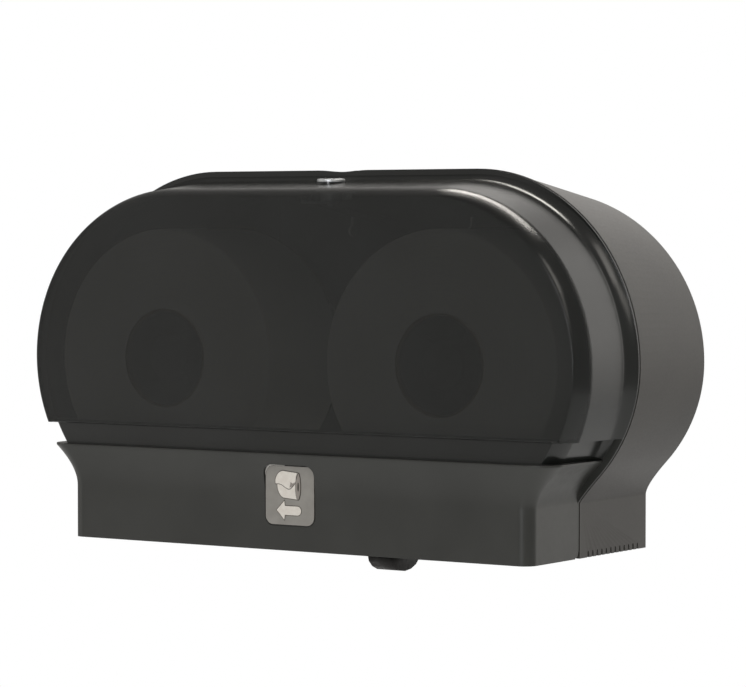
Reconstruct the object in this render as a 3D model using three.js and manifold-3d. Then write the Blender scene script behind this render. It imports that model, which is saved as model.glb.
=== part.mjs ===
// Wall-mounted toilet paper dispenser for two jumbo rolls, side by side.
// Millimetres, +Z up, +X to the viewer's right, the wall is the plane Y = 0 and the front faces -Y.
// The origin is on the wall face, midway between the rolls and level with their axes.
import * as THREE from "three";
import { mergeVertices } from "three/addons/utils/BufferGeometryUtils.js";
import Module from "manifold-3d";

const wasm = await Module();
wasm.setup();

// Paper rolls, and the room that the casing leaves round them
const rollRadius = 106.3;
const rollApart = 27.7;
const rollRoom = 30.7;
const rollOutset = 5;
const floorRoom = 44.7;
const rollWidth = 100;
const rollGap = 8;
const rollEdge = 2;

// Form of the casing: how far its ends spread or draw in from the window to the rim and to the wall
const skirtDraft = 7;
const rimSideSpread = 3.5;
const rimTopSpread = 9.5;
const rimLowDraw = 5;
const backSideDraft = 1;
const backTopDraft = 17;
const backLowDraft = 6;
const bodyDepth = 106.5;
const coverDepth = 75.5;
const baseReach = 93.8;
const neckRise = 43;
const neckReach = 19.5;
const mostNeckShare = 0.96;
const housingWall = 2.8;
const backPanel = 3;
const coverWall = 2.5;
const partingGap = 0.5;

// Steps and edges of the front cover
const windowEdge = 6;
const flareDepth = 19;
const flangeThick = 2;
const windowRise = 95;
const lipRise = 78;
const lipReach = 22.2;
const lipFront = 6;
const lipThick = 1.6;
const flareKneeShare = 0.45;
const bandInset = 6.5;
const bandFront = 4;
const baseCorner = 11;
const lipCorner = 20;

// Hinge of the front cover
const pivotForward = 6.2;
const pivotRise = 5.5;
const pinRadius = 2;
const pinHeadRadius = 3.4;
const pinHeadThick = 1.5;
const knuckleRadius = 4.8;
const padDepth = 5.4;
const earThick = 5;
const earGap = 0.6;
const earRoot = 7;

// What carries the rolls
const coreBore = 39;
const coreWall = 1.6;
const hubWall = 2;
const hubLip = 3;
const hubSetback = 2;
const hubSpokes = 5;
const hubBarrelWall = 2.4;
const hubNoseSetback = 8;
const postRadius = 13;
const postWall = 2.5;
const pedestalRadius = 30;
const pedestalNeck = 20;
const pedestalWall = 3;
const footRadius = 42;
const footThick = 4;
const footScrews = 3;
const capRadius = 19;
const capThick = 3;
const capStem = 15;

// Paper exits, the shutter that closes one of them, and its rails
const frameThick = 3;
const frameRise = 9;
const frameSideGap = 20;
const frameFrontGap = 2.6;
const frameBackGap = 10;
const frameMargin = 9;
const guideHeight = 6;
const guideThick = 1.8;
const exitInner = 24;
const exitMargin = 40;
const exitCorner = 8;
const exitDepth = 94;
const shutterInnerLap = 33.1;
const shutterOuterLap = 2.9;
const shutterThick = 2.5;
const railWall = 2;
const railLip = 4;
const railStop = 3;
const tabHalfWidth = 10.4;
const tabDepth = 45;
const tabDrop = 14;
const tabGap = 1;
const tabWall = 2;
const ledgeWidth = 34;
const ledgeHeight = 9;
const toothPitch = 7.2;
const toothHeight = 5;
const toothWidth = 3.4;
const toothTipShare = 0.2;
const toothRowInset = 13.5;

// Lock on top of the cover, and the plate that its cam hooks behind
const lockForward = 17;
const bezelRadius = 11.5;
const bezelHeight = 2.4;
const bossDepth = 4.5;
const bossRim = 1.6;
const lockBarrelRadius = 9;
const lockBarrelLength = 15;
const plugRadius = 6;
const keyWidth = 1.8;
const keyLength = 7;
const keyDepth = 6;
const nutRadius = 12.5;
const nutThick = 3;
const camReach = 26;
const camWidth = 12;
const camThick = 2;
const hookThick = 2;
const hookRise = 5;
const strikePlay = 3;
const strikeLift = 1.4;
const strikeHalfWidth = 6;
const strikeThick = 1.5;
const strikePadDepth = 8;

// Wall fixing holes, fasteners, ribs and the sign
const holeSpanX = 60;
const holeSpanZ = 104;
const holeHead = 5;
const holeNeck = 2.6;
const holeSlide = 10;
const screwRadius = 1.8;
const screwHead = 3.6;
const screwHeadHeight = 2;
const screwReach = 7;
const driveWidth = 1;
const driveDepth = 1;
const ribThick = 2;
const ribHeight = 6;
const ribRingShare = 0.66;
const signHalf = 23.5;
const signCorner = 7;
const signThick = 0.9;
const signRise = 44.3;

// Clearances and drawing values
const seatGap = 0.3;
const runGap = 0.35;
const slideGap = 0.6;
const overrun = 1;
const arcSteps = 10;
const edgeSteps = 4;
const roundSides = 28;
const smallSides = 16;
const screwSides = 10;
const hexSides = 6;
const weld = 0.0001;

// Sizes and places worked out from those above. The ends of the casing are quarter ellipses about
// capCentreX, which reach out to the side, up to the top and down to the low size.
const rollOffset = rollRadius + rollApart;
const capCentreX = rollOffset - rollOutset;
const windowRadius = rollRadius + rollRoom;
const skirtRadius = windowRadius + skirtDraft;
const rimSide = skirtRadius + rimSideSpread;
const rimTop = skirtRadius + rimTopSpread;
const rimLow = windowRadius - rimLowDraw;
const backSide = rimSide - backSideDraft;
const backTop = rimTop - backTopDraft;
const backLow = rimLow - backLowDraft;
const baseHalfWidth = capCentreX + baseReach;

const floorZ = -rollRadius - floorRoom;
const lipZ = floorZ + lipRise;
const windowZ = floorZ + windowRise;
const highestZ = rimTop + overrun;
const partingY = -bodyDepth;
const coverBackY = partingY - partingGap;
const frontY = partingY - coverDepth;
const mouthX = baseHalfWidth - housingWall;

const pivotY = partingY - pivotForward;
const pivotZ = floorZ + pivotRise;
const padInnerX = baseHalfWidth - coverWall - padDepth;
const earOuterX = padInnerX - earGap;
const earInnerX = earOuterX - earThick;

const rollFrontY = frontY + coverWall + rollGap;
const rollBackY = rollFrontY + rollWidth;
const hubNoseY = rollFrontY + hubNoseSetback;
const shoulderY = rollBackY + hubWall + 2 * seatGap;

const frameHalfWidth = mouthX - frameSideGap;
const frameZ = floorZ + frameRise;
const frameTopZ = frameZ + frameThick;
const frameFrontY = frontY + coverWall + frameFrontGap;
const frameBackY = -backPanel - frameBackGap;
const exitOuter = frameHalfWidth - exitMargin;
const exitFrontY = frameFrontY + frameMargin;
const exitBackY = exitFrontY + exitDepth;
const railBackY = exitBackY + frameMargin;
const shutterEnd = exitOuter + shutterOuterLap;
const shutterStart = exitInner - shutterInnerLap;
const shutterRest = (shutterStart + shutterEnd) / 2;
const shutterHalfWidth = (shutterEnd - shutterStart) / 2;
const railEnd = shutterEnd + slideGap + railStop;
const shutterTopZ = frameZ - slideGap;
const shutterZ = shutterTopZ - shutterThick;
const railLipTopZ = shutterZ - slideGap;
const railZ = railLipTopZ - railWall;
const tabFrontY = frameFrontY + railWall + railLip + tabGap;
const ledgeZ = frameTopZ + seatGap;
const ledgeX = mouthX - ledgeWidth;
const frameScrewX = (ledgeX + frameHalfWidth) / 2;
const frameScrewYs = [partingY + ledgeWidth / 2, -backPanel - ledgeWidth / 2];

const lockY = partingY - lockForward;
const skirtLength = coverDepth - flareDepth - windowEdge;
const lockRiseShare = Math.min(1, (coverDepth - windowEdge - lockForward) / skirtLength);
const bezelZ = windowRadius + (skirtRadius - windowRadius) * lockRiseShare;
const bossZ = bezelZ - bossDepth;
const barrelEndZ = bezelZ - lockBarrelLength;
const camZ = barrelEndZ - seatGap - camThick;
const strikeZ = camZ + camThick + strikeLift;
const strikeBackY = lockY + camReach - hookThick - strikePlay;
const ceilingZ = backTop + (rimTop - backTop) * (strikeBackY / partingY) - housingWall;
const padTopZ = ceilingZ - overrun;
const padZ = camZ + camThick + hookRise + strikeLift;
const strikeScrewX = strikeHalfWidth + screwHead / 2;
const strikeScrewZ = (padTopZ + padZ) / 2;
const signZ = floorZ + signRise;

const screwHole = screwRadius + seatGap;

const sides = [
  { side: -1, end: "left" },
  { side: 1, end: "right" },
];

// Finishes
const blackAbs = { color: 0x2e2d2b, roughness: 0.45 };
const smokedPolycarbonate = { color: 0x30322f, roughness: 0.12, opacity: 0.85 };
const blackNylon = { color: 0x1d1d1d, roughness: 0.55 };
const steel = { color: 0xb9bcbf, roughness: 0.3, metalness: 1 };
const chrome = { color: 0xe4e6e8, roughness: 0.08, metalness: 1 };
const tissue = { color: 0xf2f1ec, roughness: 0.95 };
const cardboard = { color: 0x9b7d58, roughness: 0.9 };
const signGrey = { color: 0x8c8a84, roughness: 0.5 };

// Turns a closed three.js geometry into a solid, whichever way its faces were wound.
function solid(geometry) {
  const bare = geometry.index ? geometry.toNonIndexed() : geometry.clone();
  bare.deleteAttribute("normal");
  bare.deleteAttribute("uv");
  const merged = mergeVertices(bare, weld);
  const corners = [];
  const order = merged.index.array;
  for (let i = 0; i < order.length; i += 3) {
    const [a, b, c] = [order[i], order[i + 1], order[i + 2]];
    if (a !== b && b !== c && c !== a) corners.push(a, b, c);
  }
  const vertProperties = merged.attributes.position.array;
  const build = (list) => {
    const triVerts = Uint32Array.from(list);
    return new wasm.Manifold(new wasm.Mesh({ numProp: 3, vertProperties, triVerts }));
  };
  const made = build(corners);
  return made.volume() < 0 ? build(corners.reverse()) : made;
}

function box(x0, x1, y0, y1, z0, z1) {
  const geometry = new THREE.BoxGeometry(x1 - x0, y1 - y0, z1 - z0);
  geometry.translate((x0 + x1) / 2, (y0 + y1) / 2, (z0 + z1) / 2);
  return solid(geometry);
}

// The same box on the left or the right of the middle plane, given by its inner and outer X.
function sideBox(side, inner, outer, ...rest) {
  const [x0, x1] = side > 0 ? [inner, outer] : [-outer, -inner];
  return box(x0, x1, ...rest);
}

// A shape drawn in X and Z, pushed through from y0 to y1.
function prismY(shape, y0, y1) {
  const settings = { depth: y1 - y0, bevelEnabled: false, curveSegments: edgeSteps };
  const geometry = new THREE.ExtrudeGeometry(shape, settings);
  geometry.rotateX(Math.PI / 2);
  geometry.translate(0, y1, 0);
  return solid(geometry);
}

// A shape drawn in X and Y, pushed through from z0 to z1.
function prismZ(shape, z0, z1) {
  const settings = { depth: z1 - z0, bevelEnabled: false, curveSegments: edgeSteps };
  const geometry = new THREE.ExtrudeGeometry(shape, settings);
  geometry.translate(0, 0, z0);
  return solid(geometry);
}

// A shape drawn in Y and Z, pushed through from x0 to x1.
function prismX(shape, x0, x1) {
  const settings = { depth: x1 - x0, bevelEnabled: false, curveSegments: edgeSteps };
  const geometry = new THREE.ExtrudeGeometry(shape, settings);
  geometry.rotateX(Math.PI / 2);
  geometry.rotateZ(Math.PI / 2);
  geometry.translate(x0, 0, 0);
  return solid(geometry);
}

// A round bar along an axis between two places on it. Its middle is at (a, b) on the other two axes.
function bar(axis, radius, from, to, a, b, sideCount = smallSides) {
  const geometry = new THREE.CylinderGeometry(radius, radius, to - from, sideCount);
  const middle = (from + to) / 2;
  if (axis === "x") geometry.rotateZ(-Math.PI / 2).translate(middle, a, b);
  if (axis === "y") geometry.translate(a, middle, b);
  if (axis === "z") geometry.rotateX(Math.PI / 2).translate(a, b, middle);
  return solid(geometry);
}

// Turns a closed profile of [radius, y] points about the Y axis.
function turned(profile, sideCount = roundSides) {
  const points = [...profile, profile[0]].map(([radius, y]) => new THREE.Vector2(radius, y));
  return solid(new THREE.LatheGeometry(points, sideCount));
}

function roundedRect(x, y, halfWidth, halfHeight, corner) {
  const shape = new THREE.Shape();
  const [right, top] = [halfWidth - corner, halfHeight - corner];
  shape.moveTo(x - right, y - halfHeight);
  shape.absarc(x + right, y - top, corner, -Math.PI / 2, 0, false);
  shape.absarc(x + right, y + top, corner, 0, Math.PI / 2, false);
  shape.absarc(x - right, y + top, corner, Math.PI / 2, Math.PI, false);
  shape.absarc(x - right, y - top, corner, Math.PI, Math.PI * 1.5, false);
  return shape;
}

// A skin through sections that all have as many points, closed at both ends.
function loft(sections) {
  const count = sections[0].length;
  const positions = sections.flat().flatMap((p) => [p.x, p.y, p.z]);
  const index = [];
  for (let s = 0; s + 1 < sections.length; s++) {
    for (let i = 0; i < count; i++) {
      const next = (i + 1) % count;
      const [a, b, c, d] = [i, next, next + count, i + count].map((k) => s * count + k);
      index.push(a, b, c, a, c, d);
    }
  }
  const level = sections[0].every((p) => p.z === sections[0][0].z);
  const flat = sections[0].map((p) => new THREE.Vector2(p.x, level ? p.y : p.z));
  const turn = THREE.ShapeUtils.isClockWise(flat) ? -1 : 1;
  const last = (sections.length - 1) * count;
  for (const [a, b, c] of THREE.ShapeUtils.triangulateShape(flat, [])) {
    const [first, second] = turn > 0 ? [b, c] : [c, b];
    index.push(a, second, first, last + a, last + first, last + second);
  }
  const geometry = new THREE.BufferGeometry();
  geometry.setAttribute("position", new THREE.Float32BufferAttribute(positions, 3));
  geometry.setIndex(index);
  return solid(geometry);
}

// The long round-ended outline of the window at depth y.
function pill(y, side, top, low) {
  const right = [];
  for (let i = 0; i <= 2 * arcSteps; i++) {
    const angle = (Math.PI / 2) * (i / arcSteps - 1);
    const height = angle > 0 ? top : low;
    right.push(new THREE.Vector3(capCentreX + side * Math.cos(angle), y, height * Math.sin(angle)));
  }
  const left = right.map((p) => new THREE.Vector3(-p.x, p.y, p.z)).reverse();
  return [...right, ...left];
}

// The same outline drawn in below to the straight-sided base, with a hollow curve at the neck.
function casing(y, side, top, low, inset = 0) {
  const wallX = baseHalfWidth - inset;
  const [out, up, down] = [side - inset, top - inset, low - inset];
  const join = Math.acos(Math.min(mostNeckShare, (wallX + neckReach - capCentreX) / out));
  const start = new THREE.Vector2(capCentreX + out * Math.cos(join), -down * Math.sin(join));
  const slope = (down * Math.cos(join)) / (out * Math.sin(join));
  const knee = new THREE.Vector2(wallX, start.y - (start.x - wallX) * slope);
  const foot = new THREE.Vector2(wallX, Math.min(floorZ + neckRise, knee.y));
  const neck = new THREE.QuadraticBezierCurve(foot, knee, start);
  const right = [new THREE.Vector2(wallX, floorZ), ...neck.getPoints(edgeSteps + 1)];
  for (let i = 1; i <= 2 * arcSteps; i++) {
    const angle = -join + ((Math.PI / 2 + join) * i) / (2 * arcSteps);
    const height = angle > 0 ? up : down;
    right.push(new THREE.Vector2(capCentreX + out * Math.cos(angle), height * Math.sin(angle)));
  }
  const left = right.map((p) => new THREE.Vector2(-p.x, p.y)).reverse();
  return [...right, ...left].map((p) => new THREE.Vector3(p.x, y, p.y));
}

// Plan outline of the cover's base at height z: square at the back, round at the two front corners.
function basePlan(z, halfWidth, front, back, corner) {
  const right = [new THREE.Vector3(halfWidth, back, z)];
  for (let i = 0; i <= edgeSteps; i++) {
    const angle = (-Math.PI / 2) * (i / edgeSteps);
    const x = halfWidth - corner + corner * Math.cos(angle);
    right.push(new THREE.Vector3(x, front + corner + corner * Math.sin(angle), z));
  }
  const left = right.map((p) => new THREE.Vector3(-p.x, p.y, p.z)).reverse();
  return [...right, ...left];
}

function mesh(name, part, finish, place = [0, 0, 0]) {
  const { vertProperties, triVerts } = part.getMesh();
  const geometry = new THREE.BufferGeometry();
  geometry.setAttribute("position", new THREE.BufferAttribute(vertProperties, 3));
  geometry.setIndex(new THREE.BufferAttribute(triVerts, 1));
  geometry.computeVertexNormals();
  const { color, roughness, metalness = 0, opacity = 1 } = finish;
  const transparent = opacity < 1;
  const look = { color, roughness, metalness, opacity, transparent };
  const material = new THREE.MeshStandardMaterial(look);
  const made = new THREE.Mesh(geometry, material);
  made.name = name;
  made.position.set(...place);
  return made;
}

// Rear housing: the tray that screws to the wall

// Its outside or its inside, from backY to frontPlane, growing evenly from the wall face to the rim.
function bodyForm(inset, backY, frontPlane) {
  const ends = [[backSide, rimSide], [backTop, rimTop], [backLow, rimLow]];
  const at = (y) => casing(y, ...ends.map(([back, rim]) => back + ((rim - back) * y) / partingY), inset);
  return loft([backY, frontPlane].map(at));
}

// A screw hole that hangs over a screw head: a wide hole with a narrow slot above it.
function keyhole(x, z) {
  const wide = bar("y", holeHead, -backPanel - overrun, overrun, x, z);
  const tip = bar("y", holeNeck, -backPanel - overrun, overrun, x, z + holeSlide);
  const slot = box(x - holeNeck, x + holeNeck, -backPanel - overrun, overrun, z, z + holeSlide);
  return wide.add(tip).add(slot);
}

// The shelf inside each side wall that the exit frame is screwed up to.
function ledge(side) {
  const depth = [partingY, -backPanel + overrun];
  return sideBox(side, ledgeX, mouthX + overrun, ...depth, ledgeZ, ledgeZ + ledgeHeight);
}

// The ear that reaches forward past the parting plane and holds a hinge pin.
function hingeEar(side) {
  const [x0, x1] = side > 0 ? [earInnerX, earOuterX] : [-earOuterX, -earInnerX];
  const rootY = partingY + earRoot;
  const eye = bar("x", knuckleRadius, x0, x1, pivotY, pivotZ);
  const arm = box(x0, x1, pivotY, rootY, pivotZ - knuckleRadius, pivotZ + knuckleRadius);
  const height = [pivotZ - knuckleRadius, ledgeZ + overrun];
  const root = sideBox(side, earInnerX, mouthX + overrun, partingY, rootY, ...height);
  const hole = bar("x", pinRadius + seatGap, x0 - overrun, x1 + overrun, pivotY, pivotZ);
  return eye.add(arm).add(root).subtract(hole);
}

// Ribs inside the back panel: a ring and an upright behind each roll, and a rail across.
function backRibs() {
  const [outer, inner] = [-backPanel - ribHeight, -backPanel + overrun];
  const reach = capCentreX + backSide - housingWall;
  let ribs = box(-reach, reach, outer, inner, -ribThick / 2, ribThick / 2);
  for (const { side } of sides) {
    const x = side * rollOffset;
    const radius = rollRadius * ribRingShare;
    const bore = bar("y", radius - ribThick, outer - overrun, inner + overrun, x, 0, roundSides);
    const ring = bar("y", radius, outer, inner, x, 0, roundSides).subtract(bore);
    const height = [housingWall - backLow, backTop - housingWall];
    const upright = box(x - ribThick / 2, x + ribThick / 2, outer, inner, ...height);
    const seat = bar("y", footRadius + seatGap, outer - overrun, -backPanel, x, 0, roundSides);
    ribs = ribs.add(ring).add(upright).subtract(seat);
  }
  return ribs;
}

// The row of notches along the bottom edge of a side wall, against which the paper tears.
function teeth(side) {
  const from = partingY + toothRowInset;
  const count = Math.floor((bodyDepth - 2 * toothRowInset) / toothPitch) + 1;
  const tip = toothWidth * toothTipShare;
  const notch = new THREE.Shape();
  notch.moveTo(-toothWidth / 2, floorZ - overrun);
  notch.lineTo(toothWidth / 2, floorZ - overrun);
  notch.lineTo(tip, floorZ + toothHeight);
  notch.lineTo(-tip, floorZ + toothHeight);
  const [inner, outer] = [mouthX - overrun, baseHalfWidth + overrun];
  const one = side > 0 ? prismX(notch, inner, outer) : prismX(notch, -outer, -inner);
  const row = Array.from({ length: count }, (_, i) => one.translate([0, from + i * toothPitch, 0]));
  return wasm.Manifold.union(row);
}

// Where a spindle's foot screws lie, spaced evenly round the spindle.
function footScrewPlaces(side) {
  const radius = (pedestalRadius + footRadius) / 2;
  return Array.from({ length: footScrews }, (_, i) => {
    const angle = Math.PI / 2 + (2 * Math.PI * i) / footScrews;
    return [side * rollOffset + radius * Math.cos(angle), radius * Math.sin(angle)];
  });
}

function housingCuts() {
  const cuts = [];
  for (const { side } of sides) {
    cuts.push(keyhole(side * holeSpanX, holeSpanZ));
    cuts.push(keyhole(side * holeSpanX, -holeSpanZ));
    cuts.push(teeth(side));
    for (const y of frameScrewYs) {
      const x = side * frameScrewX;
      cuts.push(bar("z", screwHole, ledgeZ - overrun, ledgeZ + screwReach, x, y));
    }
    for (const [x, z] of footScrewPlaces(side)) {
      cuts.push(bar("y", screwHole, -backPanel - overrun, overrun, x, z));
    }
    const [x, y] = [side * strikeScrewX, strikeBackY + seatGap];
    cuts.push(bar("y", screwHole, y - overrun, y + screwReach, x, strikeScrewZ));
  }
  return wasm.Manifold.union(cuts);
}

function rearHousing() {
  const rim = [rimSide, rimTop, rimLow].map((size) => size + partingGap);
  const bead = loft([casing(partingY, ...rim), casing(partingY + flangeThick, ...rim)]);
  const outside = bodyForm(0, 0, partingY);
  const inside = bodyForm(housingWall, -backPanel, partingY - overrun);
  const height = [floorZ - overrun, floorZ + neckRise];
  const mouth = box(-mouthX, mouthX, partingY - overrun, -backPanel, ...height);
  let body = outside.add(bead).subtract(inside).subtract(mouth);
  for (const { side } of sides) {
    body = body.add(ledge(side)).add(hingeEar(side));
  }
  const padX = strikeScrewX + screwHead;
  const padY = strikeBackY + seatGap;
  const pad = box(-padX, padX, padY, padY + strikePadDepth, padZ, rimTop).intersect(outside);
  return body.add(backRibs()).add(pad).subtract(housingCuts());
}

// Front cover: one smoked moulding with the window bulge, a recessed band and a flared base

// The window's bulge, with every face drawn in by inset, kept between two heights.
function windowForm(inset, front, back, lowest, highest) {
  const stations = [];
  const edge = windowEdge;
  for (let i = 0; i <= edgeSteps; i++) {
    const angle = (Math.PI / 2) * (i / edgeSteps);
    const radius = windowRadius - inset - edge + edge * Math.sin(angle);
    stations.push(pill(front + edge - edge * Math.cos(angle), radius, radius, radius));
  }
  const flareY = partingY - flareDepth;
  const flareEnd = Math.min(back, coverBackY) - (back > coverBackY ? 0 : flangeThick);
  const [skirt, rim] = [[skirtRadius, skirtRadius, windowRadius], [rimSide, rimTop, rimLow]];
  for (let i = 0; i <= edgeSteps; i++) {
    const angle = (Math.PI / 2) * (i / edgeSteps);
    const spread = 1 - Math.cos(angle);
    const sizes = skirt.map((size, k) => size + (rim[k] - size) * spread - inset);
    stations.push(pill(flareY + (flareEnd - flareY) * Math.sin(angle), ...sizes));
  }
  stations.push(pill(back, ...rim.map((size) => size - inset)));
  const reach = capCentreX + rimSide;
  return loft(stations).intersect(box(-reach, reach, front - overrun, back + overrun, lowest, highest));
}

// The flared base: straight at the foot, spreading in a hollow curve to a thin lip.
function baseForm(inset, back, bottom, top) {
  const foot = floorZ + neckRise;
  const rise = lipRise - lipThick - neckRise;
  const section = (z, spread) => {
    const halfWidth = baseHalfWidth + lipReach * spread - inset;
    const corner = baseCorner + (lipCorner - baseCorner) * spread - inset;
    return basePlan(z, halfWidth, frontY - lipFront * spread + inset, back, corner);
  };
  const knee = new THREE.Vector2(0, foot + rise * flareKneeShare);
  const [start, end] = [new THREE.Vector2(0, foot), new THREE.Vector2(1, foot + rise)];
  const flare = new THREE.QuadraticBezierCurve(start, knee, end);
  const stations = [section(bottom, 0)];
  let spread = 0;
  for (const point of flare.getPoints(edgeSteps + 2)) {
    if (point.y >= top) break;
    spread = point.x;
    stations.push(section(point.y, spread));
  }
  stations.push(section(top, spread));
  return loft(stations);
}

function coverShell() {
  const bandY = frontY + bandFront;
  const window = windowForm(0, frontY, coverBackY, windowZ, highestZ);
  const band = windowForm(bandInset, bandY, coverBackY, lipZ - lipThick, windowZ + coverWall);
  const base = baseForm(0, coverBackY, floorZ, lipZ);
  const rim = [rimSide, rimTop, rimLow];
  const flange = loft([casing(coverBackY - flangeThick, ...rim), casing(coverBackY, ...rim)]);
  const open = partingY + overrun;
  const inWindow = windowForm(coverWall, frontY + coverWall, open, windowZ + coverWall, highestZ);
  const bandHeight = [lipZ - 2 * coverWall, windowZ + 2 * coverWall];
  const inBand = windowForm(bandInset + coverWall, bandY + coverWall, open, ...bandHeight);
  const inBase = baseForm(coverWall, open, floorZ - overrun, lipZ - coverWall);
  return window.add(band).add(base).add(flange).subtract(inWindow.add(inBand).add(inBase));
}

// The round pad inside a side of the cover that turns on the hinge pin.
function coverPad(side) {
  const outer = baseHalfWidth - overrun;
  const hole = baseHalfWidth - coverWall / 2;
  const from = (near, far) => (side > 0 ? [near, far] : [-far, -near]);
  const pad = bar("x", knuckleRadius, ...from(padInnerX, outer), pivotY, pivotZ);
  const rounded = bar("x", knuckleRadius, ...from(outer, baseHalfWidth), pivotY, pivotZ);
  const bore = bar("x", pinRadius + seatGap, ...from(padInnerX - overrun, hole), pivotY, pivotZ);
  return { pad: pad.add(rounded), bore };
}

function frontCover() {
  const reach = baseHalfWidth + overrun;
  const corner = box(-reach, reach, pivotY, partingY, floorZ - overrun, pivotZ);
  let cover = coverShell().subtract(corner);
  for (const { side } of sides) {
    const { pad, bore } = coverPad(side);
    cover = cover.add(pad).subtract(bore);
  }
  const boss = bar("z", bezelRadius + bossRim, bossZ, bezelZ, 0, lockY, roundSides);
  const seat = bar("z", bezelRadius + seatGap, bezelZ, highestZ, 0, lockY, roundSides);
  const bore = bar("z", lockBarrelRadius + seatGap, bossZ - overrun, highestZ, 0, lockY, roundSides);
  const pocket = roundedRect(0, signZ, signHalf + slideGap, signHalf + slideGap, signCorner + slideGap);
  const recess = prismY(pocket, frontY - lipFront - overrun, frontY + signThick);
  return cover.add(boss).subtract(seat).subtract(bore).subtract(recess);
}

function signPlate() {
  const outline = roundedRect(0, signZ, signHalf, signHalf, signCorner);
  return prismY(outline, frontY - seatGap, frontY + signThick - seatGap);
}

// Hinge pins

function hingePin(side) {
  const from = (near, far) => (side > 0 ? [near, far] : [-far, -near]);
  const tip = baseHalfWidth - coverWall / 2 - seatGap;
  const seat = earInnerX - seatGap;
  const shank = bar("x", pinRadius, ...from(seat - overrun, tip), pivotY, pivotZ);
  const head = bar("x", pinHeadRadius, ...from(seat - pinHeadThick, seat), pivotY, pivotZ);
  return shank.add(head);
}

// Spindles, turned about their own axis: a foot and hollow pedestal on the back panel, and a hollow post

function spindle() {
  const backY = -backPanel - seatGap;
  const footY = backY - footThick;
  const neckY = shoulderY + pedestalWall;
  const inside = pedestalRadius - pedestalWall;
  const body = turned([
    [inside, backY],
    [footRadius, backY],
    [footRadius, footY],
    [pedestalRadius, footY],
    [pedestalNeck, shoulderY],
    [postRadius, shoulderY],
    [postRadius, hubNoseY],
    [postRadius - postWall, hubNoseY],
    [postRadius - postWall, neckY],
    [pedestalNeck - pedestalWall, neckY],
  ]);
  const hole = ([x, z]) => bar("y", screwHole, footY - overrun, backY + overrun, x, z);
  return body.subtract(wasm.Manifold.union(footScrewPlaces(0).map(hole)));
}

// A cap plugged into the end of the post, which keeps the hub on.
function spindleCap() {
  const [stem, face] = [postRadius - postWall - seatGap, hubNoseY - seatGap];
  return turned([
    [0, face + capStem],
    [stem, face + capStem],
    [stem, face],
    [capRadius, face],
    [capRadius, face - capThick + overrun],
    [capRadius - overrun, face - capThick],
    [0, face - capThick],
  ]);
}

// The hub that a roll's core slides onto: a sleeve on spokes round a barrel that runs on the post.
function coreHub() {
  const sleeve = coreBore - runGap;
  const [front, back] = [rollFrontY + hubSetback, rollBackY + seatGap + hubWall];
  const outer = turned([
    [sleeve - hubWall, front],
    [sleeve - overrun, front],
    [sleeve, front + overrun],
    [sleeve, rollBackY + seatGap],
    [coreBore + coreWall + hubLip, rollBackY + seatGap],
    [coreBore + coreWall + hubLip, back],
    [sleeve - hubWall, back],
  ]);
  const bore = postRadius + runGap;
  const [nose, tail] = [hubNoseY + runGap, back];
  const barrel = turned([
    [bore, nose],
    [bore + hubBarrelWall, nose],
    [bore + hubBarrelWall, tail],
    [bore, tail],
  ]);
  const spokes = Array.from({ length: hubSpokes }, (_, i) => {
    const half = hubWall / 2;
    const spoke = box(bore + half, sleeve - half, nose + capRadius, tail, -half, half);
    return spoke.rotate([0, (i * 360) / hubSpokes, 0]);
  });
  return wasm.Manifold.union([outer, barrel, ...spokes]);
}

function rollCore() {
  return turned([
    [coreBore, rollFrontY],
    [coreBore + coreWall, rollFrontY],
    [coreBore + coreWall, rollBackY],
    [coreBore, rollBackY],
  ]);
}

function paperRoll() {
  const inner = coreBore + coreWall + seatGap;
  return turned(
    [
      [inner, rollFrontY],
      [rollRadius - rollEdge, rollFrontY],
      [rollRadius, rollFrontY + rollEdge],
      [rollRadius, rollBackY - rollEdge],
      [rollRadius - rollEdge, rollBackY],
      [inner, rollBackY],
    ],
    2 * roundSides,
  );
}

// Exit frame: the floor with the two paper exits, and the rails that the shutter slides in

function exitFrame() {
  const halfDepth = (exitBackY - exitFrontY) / 2;
  const halfWidth = (exitOuter - exitInner) / 2;
  const [middleX, middleY] = [(exitOuter + exitInner) / 2, (exitBackY + exitFrontY) / 2];
  const frontRail = [frameFrontY, frameFrontY + railWall];
  const backRail = [railBackY - railWall, railBackY];
  const frontLip = [frameFrontY, frameFrontY + railWall + railLip];
  const backLip = [railBackY - railWall - railLip, railBackY];
  let frame = box(-frameHalfWidth, frameHalfWidth, frameFrontY, frameBackY, frameZ, frameTopZ);
  for (const [rail, lip] of [[frontRail, frontLip], [backRail, backLip]]) {
    frame = frame.add(box(-railEnd, railEnd, ...rail, railZ, frameZ + overrun));
    frame = frame.add(box(-railEnd, railEnd, ...lip, railZ, railLipTopZ));
  }
  for (const { side } of sides) {
    const outline = (grow) => {
      const [wide, deep] = [halfWidth + grow, halfDepth + grow];
      return roundedRect(side * middleX, middleY, wide, deep, exitCorner + grow);
    };
    const guideTopZ = frameTopZ + guideHeight;
    frame = frame.add(prismZ(outline(guideThick), frameZ + overrun, guideTopZ));
    frame = frame.subtract(prismZ(outline(0), railZ - overrun, guideTopZ + overrun));
    for (const lip of [frontLip, backLip]) {
      const height = [railZ, frameZ + overrun];
      frame = frame.add(sideBox(side, shutterEnd + slideGap, railEnd, ...lip, ...height));
    }
    for (const y of frameScrewYs) {
      const x = side * frameScrewX;
      frame = frame.subtract(bar("z", screwHole, frameZ - overrun, frameTopZ + overrun, x, y));
    }
  }
  return frame;
}

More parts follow.
